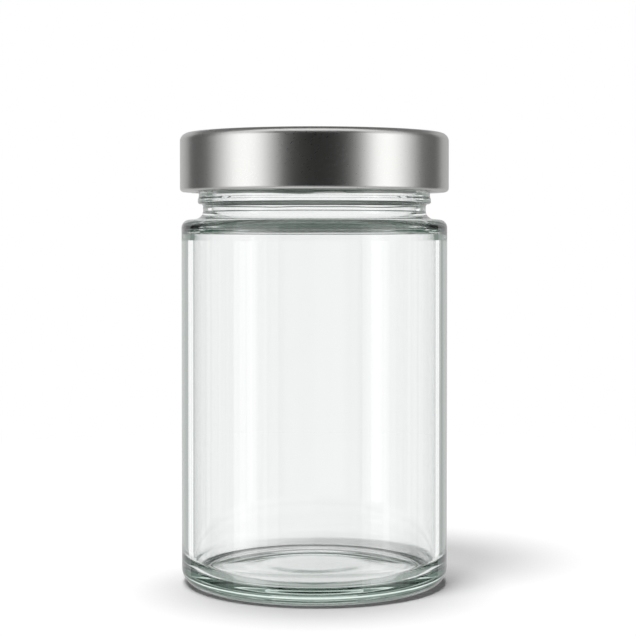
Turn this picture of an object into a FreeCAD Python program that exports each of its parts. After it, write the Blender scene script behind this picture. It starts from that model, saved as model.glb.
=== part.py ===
import FreeCAD, Part
import math
import os

# A straight-sided glass jar for preserves, shut with a deep twist-off lid of pressed steel.
# Millimetres, +Z up. The jar stands on Z = 0 and Z is the axis of both pieces.

# Jar: body
body_diameter = 72.0
body_height = 98.0              # from the table to the outer corner of the shoulder
wall = 3.4
heel_radius = 4.2               # outside corner between the wall and the foot
shoulder_radius = 2.2           # outside corner between the wall and the shoulder
shoulder_width = 5.8            # from the neck out to the wall
shoulder_rise = 0.6             # the shoulder is this much higher at the neck
shoulder_wall = 2.0             # glass under the outer corner of the shoulder
shoulder_inside_radius = 1.8

# Jar: base
foot_width = 7.2                # from the wall in to the edge of the push-up
push_up_step = 0.7              # sharp rise at the edge of the push-up
push_up_depth = 1.8             # the push-up at its middle
push_up_flat_diameter = 28.0
push_up_edge_radius = 0.5
base_wall = 4.0                 # glass under the corner of the inside floor
floor_rise = 1.0                # the inside floor is this much higher in the middle
floor_flat_diameter = 24.0
floor_corner_radius = 4.2
crown_radius = 60.0             # soft bends of the floor and of the push-up

# Jar: neck and finish
neck_length = 3.8               # from the top of the shoulder to the bead
neck_fillet = 2.3
finish_step = 1.15              # the finish stands out this far from the neck
finish_height = 18.9            # from the underside of the bead to the rim
finish_wall = 3.55
bead_step = 0.25                # the bead stands out this far from the finish
bead_height = 1.3
bead_slope_height = 0.6
bead_radius = 0.6
bead_root_radius = 0.7
rim_outside_radius = 1.1
rim_inside_radius = 1.2
mouth_fillet = 1.2              # where the mouth opens under the shoulder

# Jar: thread ridges, one for each lug of the lid, which fade out at both ends
thread_count = 4
thread_depth = 2.0
thread_height = 2.6
thread_crest_height = 1.1
thread_crest_radius = 0.4
thread_half_angle = 32.5        # degrees round the jar, from the ridge's middle to its end
thread_sink = 0.15              # how far the crest lies inside the wall at its ends
thread_root = 0.7               # how far the ridge is rooted in the wall at its middle
thread_tilt = 3.0               # degrees

# Lid
steel = 0.22
lid_height = 15.9
lid_corner_radius = 2.2
curl_radius = 1.1               # rolled hem at the bottom of the skirt
curl_straight = 0.1             # between two bends of the hem
curl_end_gap = 0.25             # between the end of the hem and the skirt
curl_clearance = 0.75           # between the thread and the hem
panel_depth = 0.9               # the panel lies this much below the rim of the lid
panel_step_width = 1.0
panel_step_radius = 0.6
panel_clearance = 0.9           # between the step of the panel and the mouth
button_diameter = 24.0
button_rise = 0.4
button_slope_width = 2.0
button_radius = 1.6

# Lid: lugs, which hook under the thread
lug_width = 8.5
lug_height = 1.3
lug_lift = 0.6                  # the lug's underside above the bottom of the hem
lug_radius = 0.45
lug_wall_gap = 0.9              # between the lug and the finish
lug_thread_gap = 0.3            # between the lug and the thread above it
lug_turn = 8.0                  # degrees from the middle of the thread towards its lower end

# Radii and levels that follow
body_r = body_diameter / 2
inside_r = body_r - wall
neck_r = body_r - shoulder_width
finish_r = neck_r + finish_step
mouth_r = finish_r - finish_wall
bead_r = finish_r + bead_step
thread_r = finish_r + thread_depth
curl_inside_r = thread_r + curl_clearance
curl_width = 2 * curl_radius + curl_straight
lid_r = curl_inside_r + curl_width
panel_r = mouth_r - panel_clearance

neck_z = body_height + shoulder_rise
bead_z = neck_z + neck_length
rim_z = bead_z + finish_height
ceiling_z = body_height - shoulder_wall
lid_top_z = rim_z + steel
lid_bottom_z = lid_top_z - lid_height
lug_z = lid_bottom_z + lug_lift
lug_half_angle = math.degrees(lug_width / 2 / curl_inside_r)

origin = FreeCAD.Vector(0, 0, 0)
x_axis = FreeCAD.Vector(1, 0, 0)
z_axis = FreeCAD.Vector(0, 0, 1)


# A closed face in the XZ plane from corners of radius, height and rounding.
def rounded_face(corners):
    starts = []
    arcs = []
    ends = []
    count = len(corners)
    for index, (r, z, rounding) in enumerate(corners):
        here = FreeCAD.Vector(r, 0, z)
        before = FreeCAD.Vector(corners[index - 1][0], 0, corners[index - 1][1])
        after = FreeCAD.Vector(corners[(index + 1) % count][0], 0, corners[(index + 1) % count][1])
        if rounding <= 0:
            starts.append(here)
            arcs.append(None)
            ends.append(here)
            continue
        back = (before - here).normalize()
        onward = (after - here).normalize()
        half = back.getAngle(onward) / 2
        reach = rounding / math.tan(half)
        inward = (back + onward).normalize()
        start = here + back * reach
        end = here + onward * reach
        middle = here + inward * (rounding / math.sin(half) - rounding)
        starts.append(start)
        arcs.append(Part.Arc(start, middle, end).toShape())
        ends.append(end)
    edges = []
    for index in range(count):
        if arcs[index]:
            edges.append(arcs[index])
        following = starts[(index + 1) % count]
        if ends[index].distanceToPoint(following) > 1e-6:
            edges.append(Part.makeLine(ends[index], following))
    return Part.Face(Part.Wire(edges))


# The path moved sideways by a sheet's thickness, with its bends made tighter or wider to match.
def offset_path(path, distance):
    points = [FreeCAD.Vector(r, 0, z) for r, z, rounding in path]
    moved = []
    for index, (r, z, rounding) in enumerate(path):
        here = points[index]
        back = points[index] - points[index - 1] if index else points[1] - points[0]
        onward = points[index + 1] - here if index + 1 < len(path) else back
        side_before = FreeCAD.Vector(back.z, 0, -back.x).normalize()
        side_after = FreeCAD.Vector(onward.z, 0, -onward.x).normalize()
        mitre = side_before + side_after
        shift = mitre * (2 * distance / mitre.dot(mitre))
        tighter = side_before.cross(side_after).y > 0
        change = -distance if tighter else distance
        moved.append((here.x + shift.x, here.z + shift.z, rounding + change if rounding else 0))
    return moved


def turned(shape, axis, degrees):
    return shape.rotated(origin, axis, degrees)


def revolved(face, degrees=360):
    return face.revolve(origin, z_axis, degrees)


# Glass of the jar, from the middle of the push-up round the outside and back over the floor.
def jar_glass():
    foot_r = body_r - foot_width
    corners = [
        (0, push_up_depth, 0),
        (push_up_flat_diameter / 2, push_up_depth, crown_radius),
        (foot_r - push_up_step, push_up_step, push_up_edge_radius),
        (foot_r, 0, push_up_edge_radius),
        (body_r, 0, heel_radius),
        (body_r, body_height, shoulder_radius),
        (neck_r, neck_z, neck_fillet),
        (neck_r, bead_z, bead_root_radius),
        (bead_r, bead_z, bead_radius),
        (bead_r, bead_z + bead_height, bead_radius),
        (finish_r, bead_z + bead_height + bead_slope_height, bead_radius),
        (finish_r, rim_z, rim_outside_radius),
        (mouth_r, rim_z, rim_inside_radius),
        (mouth_r, ceiling_z, mouth_fillet),
        (inside_r, ceiling_z, shoulder_inside_radius),
        (inside_r, base_wall, floor_corner_radius),
        (floor_flat_diameter / 2, base_wall + floor_rise, crown_radius),
        (0, base_wall + floor_rise, 0),
    ]
    return revolved(rounded_face(corners))


# One ridge: its arc has a centre off the jar's axis, so its crest sinks into the wall at both ends.
def thread_ridge(azimuth):
    sunk_r = finish_r - thread_sink
    end_x = sunk_r * math.cos(math.radians(thread_half_angle))
    end_y = sunk_r * math.sin(math.radians(thread_half_angle))
    centre_x = (thread_r ** 2 - sunk_r ** 2) / (2 * (thread_r - end_x))
    half_turn = math.degrees(math.atan2(end_y, end_x - centre_x))
    crest_x = thread_r - centre_x
    root_x = crest_x - thread_depth - thread_root
    crest_half = thread_crest_height / 2
    root_half = thread_height / 2
    section = rounded_face([
        (root_x, -root_half, 0),
        (crest_x, -crest_half, thread_crest_radius),
        (crest_x, crest_half, thread_crest_radius),
        (root_x, root_half, 0),
    ])
    ridge = revolved(turned(section, z_axis, -half_turn), 2 * half_turn)
    # how far the ridge has fallen at the far edge of the lug sets how high it lies
    fall_angle = math.radians(lug_turn + lug_half_angle)
    fall = thread_r * math.sin(fall_angle) * math.tan(math.radians(thread_tilt))
    middle_z = lug_z + lug_height + lug_thread_gap + root_half + fall
    ridge.translate(FreeCAD.Vector(centre_x, 0, 0))
    ridge = turned(ridge, x_axis, thread_tilt)
    ridge.translate(FreeCAD.Vector(0, 0, middle_z))
    return turned(ridge, z_axis, azimuth)


def make_jar():
    jar = jar_glass()
    ridges = [thread_ridge(360 / thread_count * index) for index in range(thread_count)]
    return jar.fuse(ridges).removeSplitter()


# Steel of the lid, as one sheet: button, panel, rim, skirt and rolled hem.
def lid_sheet():
    panel_z = lid_top_z - panel_depth
    button_r = button_diameter / 2
    hem_top_z = lid_bottom_z + curl_width
    outside = [
        (0, panel_z + button_rise, 0),
        (button_r - button_slope_width, panel_z + button_rise, button_radius),
        (button_r, panel_z, button_radius),
        (panel_r - panel_step_width, panel_z, panel_step_radius),
        (panel_r, lid_top_z, panel_step_radius),
        (lid_r, lid_top_z, lid_corner_radius),
        (lid_r, lid_bottom_z, curl_radius),
        (curl_inside_r, lid_bottom_z, curl_radius),
        (curl_inside_r, hem_top_z, curl_radius),
        (lid_r - steel - curl_end_gap, hem_top_z, 0),
    ]
    inside = offset_path(outside, steel)
    return revolved(rounded_face(outside + inside[::-1]))


# One lug: the hem pressed inwards until it reaches under the thread.
def lug(azimuth):
    reach_r = finish_r + lug_wall_gap
    root_r = curl_inside_r + curl_radius
    section = rounded_face([
        (reach_r, lug_z, lug_radius),
        (root_r, lug_z, 0),
        (root_r, lug_z + lug_height, 0),
        (reach_r, lug_z + lug_height, lug_radius),
    ])
    return turned(revolved(section, 2 * lug_half_angle), z_axis, azimuth - lug_half_angle)


def make_lid():
    lid = lid_sheet()
    lugs = [lug(360 / thread_count * index - lug_turn) for index in range(thread_count)]
    return lid.fuse(lugs).removeSplitter()


os.makedirs("parts", exist_ok=True)
for name, shape in (("jar", make_jar()), ("lid", make_lid())):
    solids = shape.Solids
    if len(solids) != 1 or not shape.isValid():
        raise ValueError(f"{name}: {len(solids)} solids, valid {shape.isValid()}")
    box = solids[0].optimalBoundingBox(False, False)
    print(f"{name}: {solids[0].Volume / 1000:.2f} cm3, {box.XLength:.2f} x {box.YLength:.2f} mm,"
          f" Z {box.ZMin:.2f} to {box.ZMax:.2f}")
    solids[0].exportStep(f"parts/{name}.step")
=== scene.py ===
import bpy
import math
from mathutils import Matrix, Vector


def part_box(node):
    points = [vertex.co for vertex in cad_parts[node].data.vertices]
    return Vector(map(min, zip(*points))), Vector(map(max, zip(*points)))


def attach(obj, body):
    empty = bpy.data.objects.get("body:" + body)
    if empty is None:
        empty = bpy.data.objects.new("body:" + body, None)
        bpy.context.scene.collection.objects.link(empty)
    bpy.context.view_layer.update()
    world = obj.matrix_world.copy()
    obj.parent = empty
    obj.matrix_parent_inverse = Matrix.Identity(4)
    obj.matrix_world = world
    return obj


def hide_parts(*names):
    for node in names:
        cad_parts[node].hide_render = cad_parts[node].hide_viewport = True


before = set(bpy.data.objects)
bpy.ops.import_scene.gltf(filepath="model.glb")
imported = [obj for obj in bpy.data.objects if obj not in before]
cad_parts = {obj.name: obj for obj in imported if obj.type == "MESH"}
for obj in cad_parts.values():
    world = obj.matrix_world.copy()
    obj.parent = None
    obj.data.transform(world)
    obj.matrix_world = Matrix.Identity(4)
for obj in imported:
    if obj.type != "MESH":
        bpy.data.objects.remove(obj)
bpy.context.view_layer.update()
jarLow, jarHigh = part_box("jar")
lidLow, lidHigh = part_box("lid")
mm = 0.001
fullTurn = 2 * math.pi
weldDistance = 0.001 * mm


# screen colour in hex to the linear colour that nodes take
def hexColour(text):
    channels = [int(text[start:start + 2], 16) / 255 for start in (1, 3, 5)]
    return tuple(c / 12.92 if c <= 0.04045 else ((c + 0.055) / 1.055) ** 2.4 for c in channels) + (1.0,)


# adds one node; its inputs are plain values, or the nodes and sockets that feed them
def addNode(tree, kind, inputs=(), **settings):
    node = tree.nodes.new(kind)
    for name, value in settings.items():
        setattr(node, name, value)
    for key, value in inputs.items() if isinstance(inputs, dict) else enumerate(inputs):
        if isinstance(value, bpy.types.Node):
            value = value.outputs[0]
        if isinstance(value, bpy.types.NodeSocket):
            tree.links.new(value, node.inputs[key])
        else:
            node.inputs[key].default_value = value
    return node


def newMaterial(name):
    material = bpy.data.materials.new(name)
    material.use_nodes = True
    material.node_tree.nodes.clear()
    return material, material.node_tree


def addObject(name, data):
    thing = bpy.data.objects.new(name, data)
    bpy.context.scene.collection.objects.link(thing)
    return thing


def newTree(name, sockets):
    tree = bpy.data.node_groups.new(name, "GeometryNodeTree")
    for label, kind in sockets:
        tree.interface.new_socket(label, in_out="INPUT", socket_type="NodeSocket" + kind)
    tree.interface.new_socket("Mesh", in_out="OUTPUT", socket_type="NodeSocketGeometry")
    return tree


turningSockets = [("Profile", "Geometry"), ("Segments", "Int"), ("Row Length", "Float")]


# a profile in the XZ plane, with its corners rounded, goes once round the Z axis
def turningTree():
    tree = newTree("turnedOnAxis", turningSockets)
    given = addNode(tree, "NodeGroupInput").outputs
    corners = addNode(tree, "GeometryNodeMeshToCurve", [given["Profile"]])
    rounding = addNode(tree, "GeometryNodeInputNamedAttribute", ["rounding"], data_type="FLOAT")
    steps = addNode(tree, "GeometryNodeInputNamedAttribute", ["steps"], data_type="INT")
    rowShare = addNode(tree, "GeometryNodeInputNamedAttribute", ["rowShare"], data_type="FLOAT")
    rounded = addNode(tree, "GeometryNodeFilletCurve", [corners, steps, rounding, True], mode="POLY")
    # straight runs are cut into rows, closer where the corner asks for it
    here = addNode(tree, "GeometryNodeInputPosition")
    index = addNode(tree, "GeometryNodeInputIndex")
    following = addNode(tree, "FunctionNodeIntegerMath", [index, 1], operation="ADD")
    there = addNode(tree, "GeometryNodeFieldAtIndex", {"Index": following, "Value": here},
                    data_type="FLOAT_VECTOR")
    run = addNode(tree, "ShaderNodeVectorMath", [here, there], operation="DISTANCE")
    rowLength = addNode(tree, "ShaderNodeMath", [given["Row Length"], rowShare], operation="MULTIPLY")
    cuts = addNode(tree, "ShaderNodeMath", [run.outputs["Value"], rowLength], operation="DIVIDE")
    wholeCuts = addNode(tree, "ShaderNodeMath", [cuts], operation="FLOOR")
    rows = addNode(tree, "GeometryNodeSubdivideCurve", [rounded, wholeCuts])
    count = addNode(tree, "GeometryNodeAttributeDomainSize", [rows], component="CURVE")
    columns = addNode(tree, "FunctionNodeIntegerMath", [given["Segments"], 1], operation="ADD")
    grid = addNode(tree, "GeometryNodeMeshGrid", [1.0, 1.0, columns, count])
    column = addNode(tree, "FunctionNodeIntegerMath", [index, count], operation="DIVIDE_FLOOR")
    row = addNode(tree, "FunctionNodeIntegerMath", [index, count], operation="MODULO")
    place = addNode(tree, "GeometryNodeSampleIndex", {"Geometry": rows, "Index": row, "Value": here},
                    data_type="FLOAT_VECTOR")
    share = addNode(tree, "ShaderNodeMath", [column, given["Segments"]], operation="DIVIDE")
    angle = addNode(tree, "ShaderNodeMath", [share, fullTurn], operation="MULTIPLY")
    turned = addNode(tree, "ShaderNodeVectorRotate", {"Vector": place, "Angle": angle},
                     rotation_type="Z_AXIS")
    surface = addNode(tree, "GeometryNodeSetPosition", {"Geometry": grid, "Position": turned})
    inner = addNode(tree, "GeometryNodeInputNamedAttribute", ["inner"], data_type="FLOAT")
    innerRow = addNode(tree, "GeometryNodeSampleIndex", {"Geometry": rows, "Index": row, "Value": inner},
                       data_type="FLOAT")
    marked = addNode(tree, "GeometryNodeStoreNamedAttribute",
                     {"Geometry": surface, "Name": "inner", "Value": innerRow}, data_type="FLOAT")
    closed = addNode(tree, "GeometryNodeMergeByDistance", {"Geometry": marked, "Distance": weldDistance})
    addNode(tree, "NodeGroupOutput", [closed])
    return tree


# place, radius, angle and height of each point of the surface, and the way straight out from the axis
def cylinderFields(tree):
    position = addNode(tree, "GeometryNodeInputPosition")
    xyz = addNode(tree, "ShaderNodeSeparateXYZ", [position])
    flat = addNode(tree, "ShaderNodeVectorMath", [position, (1, 1, 0)], operation="MULTIPLY")
    radius = addNode(tree, "ShaderNodeVectorMath", [flat], operation="LENGTH").outputs["Value"]
    outward = addNode(tree, "ShaderNodeVectorMath", [flat], operation="NORMALIZE")
    angle = addNode(tree, "ShaderNodeMath", [xyz.outputs["Y"], xyz.outputs["X"]], operation="ARCTAN2")
    return position, radius, angle, xyz.outputs["Z"], outward


# the angle from the middle of the nearest ridge or lug, of so many round the axis
def nearestTurn(tree, angle, count):
    pitch = addNode(tree, "ShaderNodeMath", [fullTurn / 2, count], operation="DIVIDE")
    minusPitch = addNode(tree, "ShaderNodeMath", [pitch, -1.0], operation="MULTIPLY")
    return addNode(tree, "ShaderNodeMath", [angle, pitch, minusPitch], operation="WRAP")


# the end of both pieces' trees: smooth shading and the material
def endTree(tree, geometry, material):
    smooth = addNode(tree, "GeometryNodeSetShadeSmooth", [geometry])
    real = addNode(tree, "GeometryNodeRealizeInstances", [smooth])
    finished = addNode(tree, "GeometryNodeSetMaterial", {"Geometry": real, "Material": material})
    addNode(tree, "NodeGroupOutput", [finished])


# corners are (radius, height, bend radius, share of the usual row length), all but the share in mm;
# those from innerFrom on lie on the inside, and a bend has a row of faces every bendStep degrees
def turnPiece(name, corners, innerFrom, tree, values, bendStep=6.0):
    mesh = bpy.data.meshes.new(name)
    points = [(r * mm, 0, z * mm) for r, z, bend, share in corners]
    mesh.from_pydata(points, [(i, i + 1) for i in range(len(points) - 1)], [])
    fields = {
        "rounding": [bend * mm for r, z, bend, share in corners],
        "rowShare": [share for r, z, bend, share in corners],
        "inner": [float(i >= innerFrom) for i in range(len(corners))],
    }
    for label, numbers in fields.items():
        mesh.attributes.new(label, "FLOAT", "POINT").data.foreach_set("value", numbers)
    steps = mesh.attributes.new("steps", "INT", "POINT")
    for i in range(1, len(corners) - 1):
        lastR, lastZ = corners[i - 1][:2]
        r, z, bend = corners[i][:3]
        nextR, nextZ = corners[i + 1][:2]
        back = math.atan2(z - lastZ, r - lastR)
        onward = math.atan2(nextZ - z, nextR - r)
        turn = abs((math.degrees(onward - back) + 180) % 360 - 180)
        steps.data[i].value = max(2, round(turn / bendStep)) if bend else 0
    source = addObject(name, mesh)
    modifier = source.modifiers.new("Turning", "NODES")
    modifier.node_group = tree
    for item in tree.interface.items_tree:
        if item.in_out == "INPUT" and item.name in values:
            modifier[item.identifier] = values[item.name]
    return source


# the evaluated shape becomes a plain mesh, with nothing live left on it
def plainPiece(source):
    name = source.name
    mesh = bpy.data.meshes.new_from_object(source.evaluated_get(bpy.context.evaluated_depsgraph_get()))
    bpy.data.objects.remove(source)
    mesh.name = name
    # the material that the tree gave comes last, after an empty slot
    finish = mesh.materials[-1]
    mesh.materials.clear()
    mesh.materials.append(finish)
    mesh.polygons.foreach_set("material_index", [0] * len(mesh.polygons))
    return addObject(name, mesh)


# soda-lime container glass, blown and fire polished: clear, with soft mounds in its skin, and green where
# light runs a long way through it
glassFinish = {
    "colour": "#FFFFFF", "ior": 1.52, "roughness": 0.004, "depthColour": "#BCE7D5", "depthDensity": 6.0,
    "moundWidth": 9.0, "moundHeight": 0.004,
}


def makeGlass():
    f = glassFinish
    material, tree = newMaterial("sodaLimeGlass")
    place = addNode(tree, "ShaderNodeTexCoord").outputs["Object"]
    perMound = 1 / (f["moundWidth"] * mm)
    mounds = addNode(tree, "ShaderNodeTexNoise", {"Vector": place, "Scale": perMound, "Detail": 1.0})
    bump = addNode(tree, "ShaderNodeBump", {"Height": mounds, "Distance": f["moundHeight"] * mm})
    shader = addNode(tree, "ShaderNodeBsdfPrincipled", {
        "Base Color": hexColour(f["colour"]), "Roughness": f["roughness"], "IOR": f["ior"],
        "Transmission Weight": 1.0, "Normal": bump})
    depth = addNode(tree, "ShaderNodeVolumeAbsorption", {
        "Color": hexColour(f["depthColour"]), "Density": f["depthDensity"]})
    addNode(tree, "ShaderNodeOutputMaterial", {"Surface": shader, "Volume": depth})
    return material


# tinplate, finely brushed and lacquered: soft broad highlights, broken by a faint slanted grain
lidFinish = {
    "colour": "#D2D2D0", "roughness": 0.29, "roughnessSpread": 0.04,
    # the grain is drawn a few times coarser than the real one, so that it shows
    "grainWidth": 0.16, "grainLength": 1.6, "grainSlant": 40.0, "grainDepth": 0.003,
}


def makeTinplate():
    f = lidFinish
    material, tree = newMaterial("satinTinplate")
    place = addNode(tree, "ShaderNodeTexCoord").outputs["Object"]
    slant = addNode(tree, "ShaderNodeVectorRotate", {
        "Vector": place, "Angle": math.radians(f["grainSlant"])}, rotation_type="Y_AXIS")
    perLength = 1 / (f["grainLength"] * mm)
    perWidth = 1 / (f["grainWidth"] * mm)
    stretch = (perLength, perWidth, perWidth)
    brushed = addNode(tree, "ShaderNodeVectorMath", [slant, stretch], operation="MULTIPLY")
    grain = addNode(tree, "ShaderNodeTexNoise", {"Vector": brushed, "Scale": 1.0, "Detail": 1.0})
    bump = addNode(tree, "ShaderNodeBump", {"Height": grain, "Distance": f["grainDepth"] * mm})
    roughness = addNode(tree, "ShaderNodeMapRange", {
        "Value": grain, "To Min": f["roughness"] - f["roughnessSpread"],
        "To Max": f["roughness"] + f["roughnessSpread"]})
    shader = addNode(tree, "ShaderNodeBsdfPrincipled", {
        "Base Color": hexColour(f["colour"]), "Metallic": 1.0, "Roughness": roughness, "Normal": bump})
    addNode(tree, "ShaderNodeOutputMaterial", {"Surface": shader})
    return material


glass = makeGlass()
tinplate = makeTinplate()
turning = turningTree()
print("materials and turning tree made")

# the jar's glass, in mm and segments of a full turn
jarShape = {
    "segments": 256, "rowLength": 2.0,
    "wall": 3.4, "heelRadius": 4.2, "shoulderRadius": 2.2, "shoulderWidth": 5.8, "shoulderHeight": 98.0,
    "shoulderRise": 0.6, "shoulderWall": 2.0, "shoulderInsideRadius": 1.8,
    "footWidth": 7.2, "pushUpStep": 0.7, "pushUpDepth": 1.8, "pushUpFlat": 14.0, "pushUpEdge": 0.5,
    "baseWall": 4.0, "floorRise": 1.0, "floorFlat": 12.0, "floorCorner": 4.2, "crown": 60.0,
    "neckLength": 3.8, "neckFillet": 2.3, "finishStep": 1.15, "finishWall": 3.55,
    "beadStep": 0.25, "beadHeight": 1.3, "beadSlope": 0.6, "beadRadius": 0.6, "beadRoot": 0.7,
    "rimOutside": 1.1, "rimInside": 1.2, "mouthFillet": 1.2, "sealGap": 0.05,
}
# the ridges that the lid's lugs hook under, in mm and degrees; rows of faces are closer in their zone
threadShape = {
    "count": 4, "depth": 2.0, "root": 0.7, "height": 2.6, "crestHeight": 1.1, "soft": 0.5,
    "halfAngle": 32.5, "sink": 0.15, "tilt": 3.0,
    "middle": 109.58, "zone": (106.8, 112.4), "zoneRows": 0.125,
}
# waves of the inside wall, in mm
waves = {
    "width": 14.0, "height": 5.0, "body": 0.012, "neck": 0.14, "base": 0.07,
    "neckFade": 4.0, "baseFade": 6.0,
}


def jarTree():
    measures = [
        "Arc Centre", "Arc Radius", "Crest Half", "Flank Slope", "Thread Height", "Thread Tilt", "Soft",
        "Wave Width", "Wave Height", "Body Wave", "Neck Wave", "Base Wave", "Neck Fade", "Base Fade",
        "Shoulder", "Floor"]
    sockets = turningSockets + [("Material", "Material"), ("Thread Count", "Int")]
    tree = newTree("jarOfGlass", sockets + [(label, "Float") for label in measures])
    given = addNode(tree, "NodeGroupInput").outputs
    turned = addNode(tree, "GeometryNodeGroup", [given[label] for label, kind in turningSockets],
                     node_tree=turning)
    position, radius, angle, height, outward = cylinderFields(tree)
    inner = addNode(tree, "GeometryNodeInputNamedAttribute", ["inner"], data_type="FLOAT")
    outer = addNode(tree, "ShaderNodeMath", [1.0, inner], operation="SUBTRACT")
    # each ridge is an arc with its centre off the axis, so that it sinks into the wall at both ends
    ridgeTurn = nearestTurn(tree, angle, given["Thread Count"])
    sine = addNode(tree, "ShaderNodeMath", [ridgeTurn], operation="SINE")
    cosine = addNode(tree, "ShaderNodeMath", [ridgeTurn], operation="COSINE")
    across = addNode(tree, "ShaderNodeMath", [given["Arc Centre"], sine], operation="MULTIPLY")
    acrossSquared = addNode(tree, "ShaderNodeMath", [across, across], operation="MULTIPLY")
    arcRadius = given["Arc Radius"]
    arcSquared = addNode(tree, "ShaderNodeMath", [arcRadius, arcRadius], operation="MULTIPLY")
    reachSquared = addNode(tree, "ShaderNodeMath", [arcSquared, acrossSquared], operation="SUBTRACT")
    reach = addNode(tree, "ShaderNodeMath", [reachSquared], operation="SQRT")
    crest = addNode(tree, "ShaderNodeMath", [given["Arc Centre"], cosine, reach],
                    operation="MULTIPLY_ADD")
    climb = addNode(tree, "ShaderNodeMath", [radius, sine], operation="MULTIPLY")
    middle = addNode(tree, "ShaderNodeMath", [climb, given["Thread Tilt"], given["Thread Height"]],
                     operation="MULTIPLY_ADD")
    above = addNode(tree, "ShaderNodeMath", [height, middle], operation="SUBTRACT")
    away = addNode(tree, "ShaderNodeMath", [above], operation="ABSOLUTE")
    past = addNode(tree, "ShaderNodeMath", [away, given["Crest Half"]], operation="SUBTRACT")
    pastCrest = addNode(tree, "ShaderNodeMath", [past, 0.0, given["Soft"]], operation="SMOOTH_MAX")
    drop = addNode(tree, "ShaderNodeMath", [pastCrest, given["Flank Slope"]], operation="MULTIPLY")
    ridge = addNode(tree, "ShaderNodeMath", [crest, drop], operation="SUBTRACT")
    raised = addNode(tree, "ShaderNodeMath", [radius, ridge, given["Soft"]], operation="SMOOTH_MAX")
    rise = addNode(tree, "ShaderNodeMath", [raised, radius], operation="SUBTRACT")
    onFinish = addNode(tree, "ShaderNodeMath", [height, given["Shoulder"]], operation="GREATER_THAN")
    where = addNode(tree, "ShaderNodeMath", [onFinish, outer], operation="MULTIPLY")
    outerRise = addNode(tree, "ShaderNodeMath", [rise, where], operation="MULTIPLY")
    raising = addNode(tree, "ShaderNodeVectorMath", {0: outward, "Scale": outerRise}, operation="SCALE")
    threaded = addNode(tree, "GeometryNodeSetPosition", {"Geometry": turned, "Offset": raising})
    # blown glass is never even inside: shallow waves, deeper in the neck and over the base
    perWidth = addNode(tree, "ShaderNodeMath", [1.0, given["Wave Width"]], operation="DIVIDE")
    perHeight = addNode(tree, "ShaderNodeMath", [1.0, given["Wave Height"]], operation="DIVIDE")
    scale = addNode(tree, "ShaderNodeCombineXYZ", [perWidth, perWidth, perHeight])
    stretched = addNode(tree, "ShaderNodeVectorMath", [position, scale], operation="MULTIPLY")
    noise = addNode(tree, "ShaderNodeTexNoise", {"Vector": stretched, "Scale": 1.0, "Detail": 1.0})
    centred = addNode(tree, "ShaderNodeMath", [noise, 0.5], operation="SUBTRACT")
    neckTop = addNode(tree, "ShaderNodeMath", [given["Shoulder"], given["Neck Fade"]], operation="ADD")
    neck = addNode(tree, "ShaderNodeMapRange", {
        "Value": height, "From Min": given["Shoulder"], "From Max": neckTop,
        "To Min": given["Body Wave"], "To Max": given["Neck Wave"]}, interpolation_type="SMOOTHSTEP")
    floorTop = addNode(tree, "ShaderNodeMath", [given["Floor"], given["Base Fade"]], operation="ADD")
    base = addNode(tree, "ShaderNodeMapRange", {
        "Value": height, "From Min": given["Floor"], "From Max": floorTop,
        "To Min": given["Base Wave"], "To Max": 0.0}, interpolation_type="SMOOTHSTEP")
    depth = addNode(tree, "ShaderNodeMath", [neck, base], operation="ADD")
    innerDepth = addNode(tree, "ShaderNodeMath", [depth, inner], operation="MULTIPLY")
    wave = addNode(tree, "ShaderNodeMath", [innerDepth, centred], operation="MULTIPLY")
    normal = addNode(tree, "GeometryNodeInputNormal")
    waving = addNode(tree, "ShaderNodeVectorMath", {0: normal, "Scale": wave}, operation="SCALE")
    waved = addNode(tree, "GeometryNodeSetPosition", {"Geometry": threaded, "Offset": waving})
    endTree(tree, waved, given["Material"])
    return tree


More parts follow.
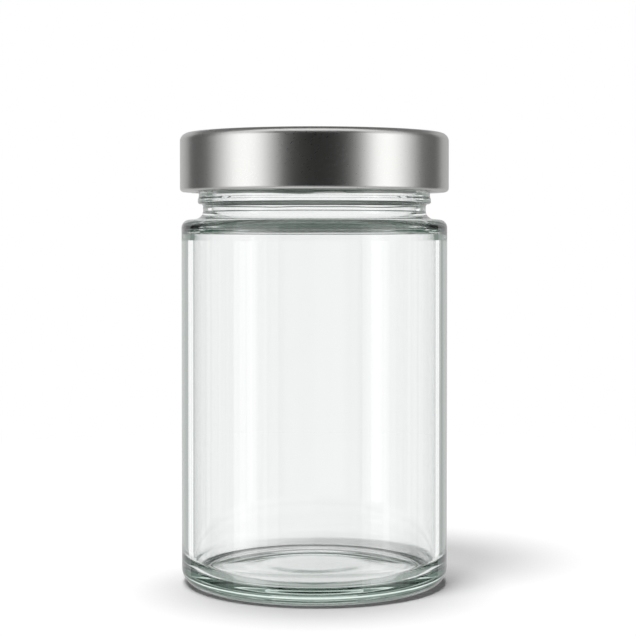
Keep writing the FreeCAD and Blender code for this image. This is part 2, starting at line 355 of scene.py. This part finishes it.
def makeJar():
    s = jarShape
    t = threadShape
    w = waves
    bodyR = (jarHigh.x - jarLow.x) / 2 / mm
    rimZ = jarHigh.z / mm - s["sealGap"]
    insideR = bodyR - s["wall"]
    neckR = bodyR - s["shoulderWidth"]
    finishR = neckR + s["finishStep"]
    mouthR = finishR - s["finishWall"]
    beadR = finishR + s["beadStep"]
    footR = bodyR - s["footWidth"]
    shoulderZ = s["shoulderHeight"]
    neckZ = shoulderZ + s["shoulderRise"]
    beadZ = neckZ + s["neckLength"]
    beadTop = beadZ + s["beadHeight"]
    ceilingZ = shoulderZ - s["shoulderWall"]
    floorZ = s["baseWall"]
    outside = [
        (0, s["pushUpDepth"], 0, 1),
        (s["pushUpFlat"], s["pushUpDepth"], s["crown"], 1),
        (footR - s["pushUpStep"], s["pushUpStep"], s["pushUpEdge"], 1),
        (footR, 0, s["pushUpEdge"], 1),
        (bodyR, 0, s["heelRadius"], 1),
        (bodyR, shoulderZ, s["shoulderRadius"], 0.5),
        (neckR, neckZ, s["neckFillet"], 0.5),
        (neckR, beadZ, s["beadRoot"], 1),
        (beadR, beadZ, s["beadRadius"], 1),
        (beadR, beadTop, s["beadRadius"], 1),
        (finishR, beadTop + s["beadSlope"], s["beadRadius"], 0.5),
        (finishR, t["zone"][0], 0, t["zoneRows"]),
        (finishR, t["zone"][1], 0, 1),
        (finishR, rimZ, s["rimOutside"], 1),
    ]
    inside = [
        (mouthR, rimZ, s["rimInside"], 0.7),
        (mouthR, ceilingZ, s["mouthFillet"], 0.7),
        (insideR, ceilingZ, s["shoulderInsideRadius"], 1),
        (insideR, floorZ, s["floorCorner"], 1),
        (s["floorFlat"], floorZ + s["floorRise"], s["crown"], 1),
        (0, floorZ + s["floorRise"], 0, 1),
    ]
    sunkR = finishR - t["sink"]
    crestR = finishR + t["depth"]
    endX = sunkR * math.cos(math.radians(t["halfAngle"]))
    arcCentre = (crestR ** 2 - sunkR ** 2) / (2 * (crestR - endX))
    values = {
        "Segments": s["segments"], "Row Length": s["rowLength"] * mm, "Material": glass,
        "Thread Count": t["count"], "Thread Height": t["middle"] * mm,
        "Thread Tilt": math.tan(math.radians(t["tilt"])), "Soft": t["soft"] * mm,
        "Arc Centre": arcCentre * mm, "Arc Radius": (crestR - arcCentre) * mm,
        "Crest Half": t["crestHeight"] / 2 * mm,
        "Flank Slope": 2 * (t["depth"] + t["root"]) / (t["height"] - t["crestHeight"]),
        "Wave Width": w["width"] * mm, "Wave Height": w["height"] * mm,
        "Body Wave": w["body"] * mm, "Neck Wave": w["neck"] * mm, "Base Wave": w["base"] * mm,
        "Neck Fade": w["neckFade"] * mm, "Base Fade": w["baseFade"] * mm,
        "Shoulder": ceilingZ * mm, "Floor": (floorZ + s["floorRise"]) * mm,
    }
    return plainPiece(turnPiece("jarGlass", outside + inside, len(outside), jarTree(), values))


jar = makeJar()
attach(jar, "root")
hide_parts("jar")
print("jar made,", len(jar.data.polygons), "faces")

# the lid, in mm and segments of a full turn
lidShape = {
    "segments": 256, "rowLength": 2.0, "steel": 0.22, "cornerRadius": 2.2,
    "curlWidth": 2.3, "curlRadius": 1.1, "curlEndGap": 0.25,
    "panelRadius": 26.9, "panelDepth": 0.9, "panelStep": 1.0, "panelStepRadius": 0.6,
    "buttonRadius": 12.0, "buttonRise": 0.4, "buttonSlope": 2.0, "buttonBend": 1.6,
}
# the lugs pressed from the hem: their turn, half width and fade are degrees, the rest is mm
lugShape = {
    "count": 4, "turn": 8.0, "halfWidth": 7.1, "fade": 2.0, "reach": 1.85, "lowest": 0.6, "height": 1.3,
    "skirtEdge": 0.5, "overHem": 0.1,
}


def lidTree():
    measures = ["Lug Turn", "Half Width", "Lug Fade", "Lug Reach", "Lug Middle", "Lug Squeeze",
                "Hem Inside", "Hem Outside", "Hem Top"]
    sockets = turningSockets + [("Material", "Material"), ("Lug Count", "Int")]
    tree = newTree("lidOfTinplate", sockets + [(label, "Float") for label in measures])
    given = addNode(tree, "NodeGroupInput").outputs
    turned = addNode(tree, "GeometryNodeGroup", [given[label] for label, kind in turningSockets],
                     node_tree=turning)
    position, radius, angle, height, outward = cylinderFields(tree)
    # the hem is pressed flat and inwards at each lug
    fromTurn = addNode(tree, "ShaderNodeMath", [angle, given["Lug Turn"]], operation="ADD")
    lugTurn = nearestTurn(tree, fromTurn, given["Lug Count"])
    away = addNode(tree, "ShaderNodeMath", [lugTurn], operation="ABSOLUTE")
    fadeEnd = addNode(tree, "ShaderNodeMath", [given["Half Width"], given["Lug Fade"]], operation="ADD")
    along = addNode(tree, "ShaderNodeMapRange", {
        "Value": away, "From Min": given["Half Width"], "From Max": fadeEnd,
        "To Min": 1.0, "To Max": 0.0}, interpolation_type="SMOOTHSTEP")
    inwards = addNode(tree, "ShaderNodeMapRange", {
        "Value": radius, "From Min": given["Hem Inside"], "From Max": given["Hem Outside"],
        "To Min": 1.0, "To Max": 0.0}, interpolation_type="SMOOTHSTEP")
    low = addNode(tree, "ShaderNodeMath", [height, given["Hem Top"]], operation="LESS_THAN")
    pressed = addNode(tree, "ShaderNodeMath", [along, inwards], operation="MULTIPLY")
    pressedLow = addNode(tree, "ShaderNodeMath", [pressed, low], operation="MULTIPLY")
    reach = addNode(tree, "ShaderNodeMath", [pressedLow, given["Lug Reach"]], operation="MULTIPLY")
    minusReach = addNode(tree, "ShaderNodeMath", [reach, -1.0], operation="MULTIPLY")
    inOffset = addNode(tree, "ShaderNodeVectorMath", {0: outward, "Scale": minusReach},
                       operation="SCALE")
    below = addNode(tree, "ShaderNodeMath", [given["Lug Middle"], height], operation="SUBTRACT")
    squeeze = addNode(tree, "ShaderNodeMath", [below, given["Lug Squeeze"]], operation="MULTIPLY")
    squeezed = addNode(tree, "ShaderNodeMath", [squeeze, pressedLow], operation="MULTIPLY")
    upOffset = addNode(tree, "ShaderNodeCombineXYZ", [0.0, 0.0, squeezed])
    offset = addNode(tree, "ShaderNodeVectorMath", [inOffset, upOffset], operation="ADD")
    lugged = addNode(tree, "GeometryNodeSetPosition", {"Geometry": turned, "Offset": offset})
    endTree(tree, lugged, given["Material"])
    return tree


def makeLid():
    s = lidShape
    g = lugShape
    lidR = (lidHigh.x - lidLow.x) / 2 / mm
    topZ = lidHigh.z / mm
    bottomZ = lidLow.z / mm
    panelZ = topZ - s["panelDepth"]
    hemTop = bottomZ + s["curlWidth"]
    hemR = lidR - s["curlWidth"]
    corners = [
        (lidR - s["steel"] - s["curlEndGap"], hemTop, 0, 1),
        (hemR, hemTop, s["curlRadius"], 1),
        (hemR, bottomZ, s["curlRadius"], 1),
        (lidR, bottomZ, s["curlRadius"], 0.5),
        (lidR, topZ, s["cornerRadius"], 1),
        (s["panelRadius"], topZ, s["panelStepRadius"], 1),
        (s["panelRadius"] - s["panelStep"], panelZ, s["panelStepRadius"], 1),
        (s["buttonRadius"], panelZ, s["buttonBend"], 1),
        (s["buttonRadius"] - s["buttonSlope"], panelZ + s["buttonRise"], s["buttonBend"], 1),
        (0, panelZ + s["buttonRise"], 0, 1),
    ]
    lugMiddle = bottomZ + g["lowest"] + g["height"] / 2
    values = {
        "Segments": s["segments"], "Row Length": s["rowLength"] * mm, "Material": tinplate,
        "Lug Count": g["count"], "Lug Turn": math.radians(g["turn"]),
        "Half Width": math.radians(g["halfWidth"]), "Lug Fade": math.radians(g["fade"]),
        "Lug Reach": g["reach"] * mm, "Lug Middle": lugMiddle * mm,
        "Lug Squeeze": 1 - g["height"] / s["curlWidth"], "Hem Inside": hemR * mm,
        "Hem Outside": (lidR - g["skirtEdge"]) * mm, "Hem Top": (hemTop + g["overHem"]) * mm,
    }
    source = turnPiece("lidTinplate", corners, len(corners), lidTree(), values)
    wall = source.modifiers.new("Wall", "SOLIDIFY")
    wall.thickness = s["steel"] * mm
    wall.offset = -1
    return plainPiece(source)


lid = makeLid()
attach(lid, "root")
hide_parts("lid")
print("lid made,", len(lid.data.polygons), "faces")

# a white room and floor, and dark green cloth that only reflections show, in mm and degrees
studio = {
    "ballRadius": 1200.0, "ballMiddle": 60.0, "cardColumn": 4.0, "cardRow": 8.0,
    "flagCloth": "#315444", "roomWhite": "#FFFFFF", "roomOnFloor": 0.04,
    "floorSize": 3000.0, "floorDrop": 0.1, "floorPaint": "#F9F9F9", "floorGlow": 0.05,
    "shadowReach": 220.0, "shadowFade": 120.0,
    # the share of painted white light on the floor seen through the glass, and the ring along the foot
    # where it stops
    "paintedLightThroughGlass": 0.85, "footRadius": 37.0, "footShade": 4.5, "footShadeEnd": 9.9,
}
# lamps: degrees from straight behind the jar, degrees up, degrees across, and strength
lamps = {
    "keyLight": (220.0, 70.0, 17.0, 1.5),
    "topLight": (0.0, 85.0, 16.0, 1.72),
}
# cards that the inside of the glass mirrors: from and to, in degrees from straight behind the jar, then
# from and to in degrees above the level, then how bright on the left and how bright on the right
glassCards = {
    "behind": (0, 12, -16, 2, 0.45, 0.4),
    "behindSide": (12, 24, -16, 2, 0.4, 0.45),
    "edgeFlag": (24, 32, -16, 2, 0.4, 0.25),
    "edgeFade": (32, 36, -16, 2, 1.1, 0.53),
    "edgeLight": (36, 44, -16, 2, 1.2, 1.2),
    "edgeGap": (44, 48, -16, 2, 0.6, 0.77),
    "edgeSide": (48, 60, -16, 2, 0.85, 1.0),
    "sideLight": (60, 66, -16, 2, 1.05, 0.93),
    "sideFade": (66, 74, -16, 2, 0.5, 0.6),
    "sideDim": (74, 80, -16, 2, 0.08, 0.28),
    "softboxFade": (104, 110, -16, 2, 1.05, 0.0),
    "softbox": (110, 116, -16, 2, 1.8, 1.0),
    "softboxEdge": (116, 122, -16, 2, 1.3, 0.05),
    "frontFade": (122, 128, -16, 2, 0.7, 0.0),
    "frontSide": (134, 150, -16, 2, 0.5, 0.1),
    "front": (150, 180, -16, 2, 0.7, 0.35),
    "rearSill": (0, 12, 5, 16, 0.8, 0.8),
    "sideSill": (12, 66, 2, 8, 0.22, 0.22),
    "highSill": (12, 66, 8, 16, 0.15, 0.15),
    "rearFoot": (0, 50, -30, -16, 0.95, 0.95),
    "sideFoot": (50, 80, -30, -16, 0.6, 0.6),
    "frontFoot": (80, 180, -30, -16, 0.45, 0.45),
    "lowFoot": (0, 80, -50, -30, 0.3, 0.3),
    "rearLine": (12, 50, 16, 22, 0.9, 0.9),
    "rearHigh": (0, 24, 32, 90, 1.4, 1.4),
    "sideHigh": (24, 90, 45, 90, 0.95, 0.95),
    "frontHigh": (90, 180, 75, 90, 0.6, 0.6),
    "softboxHigh": (90, 134, 10, 50, 0.4, 0.1),
    "floorRear": (0, 24, -90, -60, 0.4, 0.4),
    "floorSide": (24, 90, -90, -50, 0.5, 0.5),
    "floorFront": (90, 134, -90, -60, 0.35, 0.35),
    "floorNear": (134, 180, -90, -75, 0.2, 0.2),
}
# cards that the lid and the outer skin of the glass mirror, given the same way
metalCards = {
    "metalBehind": (0, 32, -20, 30, 0.7, 0.6),
    "metalEdge": (32, 48, -20, 30, 0.6, 0.6),
    "metalSide": (48, 84, -20, 30, 0.1, 0.12),
    "metalDim": (84, 92, -20, 30, 0.4, 0.5),
    "metalFade": (92, 100, -20, 30, 0.75, 0.9),
    "metalBright": (100, 108, -20, 30, 1.15, 1.3),
    "metalSoftbox": (108, 132, -20, 30, 1.65, 1.7),
    "metalDimmer": (132, 140, -20, 30, 1.35, 0.9),
    "metalFront": (140, 150, -20, 30, 0.7, 0.2),
    "metalDark": (150, 180, -20, 30, 0.0, 0.0),
    "metalHighBehind": (0, 84, 30, 60, 0.2, 0.2),
    "metalHighSide": (84, 132, 30, 56, 1.0, 0.9),
    "metalHighFront": (132, 180, 30, 56, 0.05, 0.05),
    "metalOverhead": (84, 180, 56, 90, 1.2, 1.2),
    "metalOverRear": (0, 84, 60, 90, 0.08, 0.08),
    "metalLowSide": (0, 130, -50, -20, 0.6, 0.55),
    "metalLowFront": (130, 180, -50, -20, 0.55, 0.4),
    "metalBelow": (0, 180, -90, -50, 0.9, 0.9),
}


# 1 where the glass or the metal has mirrored the ray and the floor has not scattered it
def mirroredRay(tree):
    path = addNode(tree, "ShaderNodeLightPath").outputs
    mirrored = addNode(tree, "ShaderNodeMath", [path["Glossy Depth"], 0.5], operation="GREATER_THAN")
    clean = addNode(tree, "ShaderNodeMath", [path["Diffuse Depth"], 0.5], operation="LESS_THAN")
    return addNode(tree, "ShaderNodeMath", [mirrored, clean], operation="MULTIPLY")


# a card is a patch of a ball round the jar, and shows only in reflections
def makeCard(name, start, end, low, high, brightness, forMetal):
    s = studio
    columns = max(1, round(abs(end - start) / s["cardColumn"]))
    rows = max(1, round((high - low) / s["cardRow"]))
    vertices = []
    for i in range(columns + 1):
        turn = math.radians(start + (end - start) * i / columns)
        for j in range(rows + 1):
            lift = math.radians(low + (high - low) * j / rows)
            across = s["ballRadius"] * mm * math.cos(lift)
            up = s["ballMiddle"] * mm + s["ballRadius"] * mm * math.sin(lift)
            vertices.append((across * math.sin(turn), across * math.cos(turn), up))
    faces = []
    for i in range(columns):
        for j in range(rows):
            corner = i * (rows + 1) + j
            faces.append((corner, corner + rows + 1, corner + rows + 2, corner + 1))
    mesh = bpy.data.meshes.new(name)
    mesh.from_pydata(vertices, [], faces)
    material, tree = newMaterial(name)
    # a card for the glass goes from the cloth's green to white, one for the metal from black to white
    dark = (0.0, 0.0, 0.0) if forMetal else hexColour(s["flagCloth"])[:3]
    lit = [shade + (1 - shade) * brightness for shade in dark]
    glow = addNode(tree, "ShaderNodeEmission", {"Color": (*lit, 1.0), "Strength": 1.0})
    clear = addNode(tree, "ShaderNodeBsdfTransparent")
    surface = addNode(tree, "ShaderNodeMixShader", [mirroredRay(tree), clear, glow])
    addNode(tree, "ShaderNodeOutputMaterial", {"Surface": surface})
    material.cycles.emission_sampling = "NONE"
    mesh.materials.append(material)
    card = addObject(name, mesh)
    card.visible_shadow = False
    card.visible_diffuse = False
    card.visible_glossy = forMetal
    card.visible_transmission = not forMetal


def makeCards():
    for cards, forMetal in ((glassCards, False), (metalCards, True)):
        for name, (start, end, low, high, left, right) in cards.items():
            makeCard(name + "Left", -start, -end, low, high, left, forMetal)
            makeCard(name + "Right", start, end, low, high, right, forMetal)


# matt white floor under the jar, which turns to plain white further out and holds the shadow
def makeFloor():
    s = studio
    mesh = bpy.data.meshes.new("floor")
    r = s["floorSize"] * mm
    z = -s["floorDrop"] * mm
    mesh.from_pydata([(-r, -r, z), (r, -r, z), (r, r, z), (-r, r, z)], [], [(0, 1, 2, 3)])
    material, tree = newMaterial("paleFloor")
    place = addNode(tree, "ShaderNodeTexCoord").outputs["Object"]
    away = addNode(tree, "ShaderNodeVectorMath", [place], operation="LENGTH").outputs["Value"]
    shadowEnd = s["shadowReach"] + s["shadowFade"]
    far = addNode(tree, "ShaderNodeMapRange", {
        "Value": away, "From Min": s["shadowReach"] * mm, "From Max": shadowEnd * mm},
        interpolation_type="SMOOTHSTEP")
    paint = addNode(tree, "ShaderNodeBsdfDiffuse", {"Color": hexColour(s["floorPaint"])})
    glow = addNode(tree, "ShaderNodeEmission", {"Strength": s["floorGlow"]})
    near = addNode(tree, "ShaderNodeAddShader", [paint, glow])
    white = addNode(tree, "ShaderNodeEmission", {"Strength": 1.0})
    # seen through the glass the floor is painted pale: white glow stands in for the light that the glass
    # lets through, but for a ring along the foot that keeps its rendered shade
    fromFoot = addNode(tree, "ShaderNodeMath", [away, s["footRadius"] * mm], operation="SUBTRACT")
    distance = addNode(tree, "ShaderNodeMath", [fromFoot], operation="ABSOLUTE")
    paintedClearOfFoot = addNode(tree, "ShaderNodeMapRange", {
        "Value": distance, "From Min": s["footShade"] * mm, "From Max": s["footShadeEnd"] * mm,
        "To Max": s["paintedLightThroughGlass"]}, interpolation_type="SMOOTHSTEP")
    through = addNode(tree, "ShaderNodeLightPath").outputs["Is Transmission Ray"]
    paintedPaleness = addNode(tree, "ShaderNodeMath", [through, paintedClearOfFoot], operation="MULTIPLY")
    farWhiteOrPaintedLight = addNode(tree, "ShaderNodeMath", [far, paintedPaleness], operation="MAXIMUM")
    shown = addNode(tree, "ShaderNodeMixShader", [farWhiteOrPaintedLight, near, white])
    clear = addNode(tree, "ShaderNodeBsdfTransparent")
    surface = addNode(tree, "ShaderNodeMixShader", [mirroredRay(tree), shown, clear])
    addNode(tree, "ShaderNodeOutputMaterial", {"Surface": surface})
    material.cycles.emission_sampling = "NONE"
    mesh.materials.append(material)
    addObject("floor", mesh)


def makeWorld():
    s = studio
    world = bpy.data.worlds.new("studio")
    bpy.context.scene.world = world
    world.use_nodes = True
    tree = world.node_tree
    tree.nodes.clear()
    # the floor gets almost all of its light from the lamps
    scattered = addNode(tree, "ShaderNodeLightPath").outputs["Diffuse Depth"]
    level = addNode(tree, "ShaderNodeMix", {"Factor": scattered, "A": 1.0, "B": s["roomOnFloor"]},
                    data_type="FLOAT")
    white = addNode(tree, "ShaderNodeBackground", {"Color": hexColour(s["roomWhite"]), "Strength": level})
    cloth = addNode(tree, "ShaderNodeBackground", {"Color": hexColour(s["flagCloth"])})
    sky = addNode(tree, "ShaderNodeMixShader", [mirroredRay(tree), white, cloth])
    addNode(tree, "ShaderNodeOutputWorld", {"Surface": sky})
    world.cycles.sampling_method = "NONE"


def makeLamps():
    for name, (around, up, across, strength) in lamps.items():
        lamp = bpy.data.lights.new(name, "SUN")
        lamp.angle = math.radians(across)
        lamp.energy = strength
        light = addObject(name, lamp)
        turn = math.radians(around)
        lift = math.radians(up)
        level = math.cos(lift)
        light.location = (math.sin(turn) * level, math.cos(turn) * level, math.sin(lift))
        light.rotation_euler = (-light.location).to_track_quat("-Z", "Y").to_euler()
        light.visible_glossy = False
        light.visible_transmission = False


makeCards()
makeFloor()
makeWorld()
makeLamps()
print("studio made,", len(glassCards) + len(metalCards), "pairs of cards")

# a long lens at the height of the jar's shoulder, looking a little down
cameraSetup = {
    "distance": 461.0, "height": 95.7, "lookDown": 1.1, "lens": 96.0, "sensor": 36.0,
    "shiftX": 0.0057, "shiftY": -0.0888, "nearest": 10.0,
}


def makeCamera():
    c = cameraSetup
    lens = bpy.data.cameras.new("camera")
    lens.lens = c["lens"]
    lens.sensor_width = c["sensor"]
    lens.shift_x = c["shiftX"]
    lens.shift_y = c["shiftY"]
    lens.clip_start = c["nearest"] * mm
    camera = addObject("camera", lens)
    camera.location = (0, -c["distance"] * mm, c["height"] * mm)
    camera.rotation_euler = (math.radians(90 - c["lookDown"]), 0, 0)
    bpy.context.scene.camera = camera


makeCamera()
scene = bpy.context.scene
scene.view_settings.view_transform = "Standard"
scene.cycles.max_bounces = 24
scene.cycles.glossy_bounces = 12
scene.cycles.transmission_bounces = 24
scene.cycles.transparent_max_bounces = 16
print("camera made")
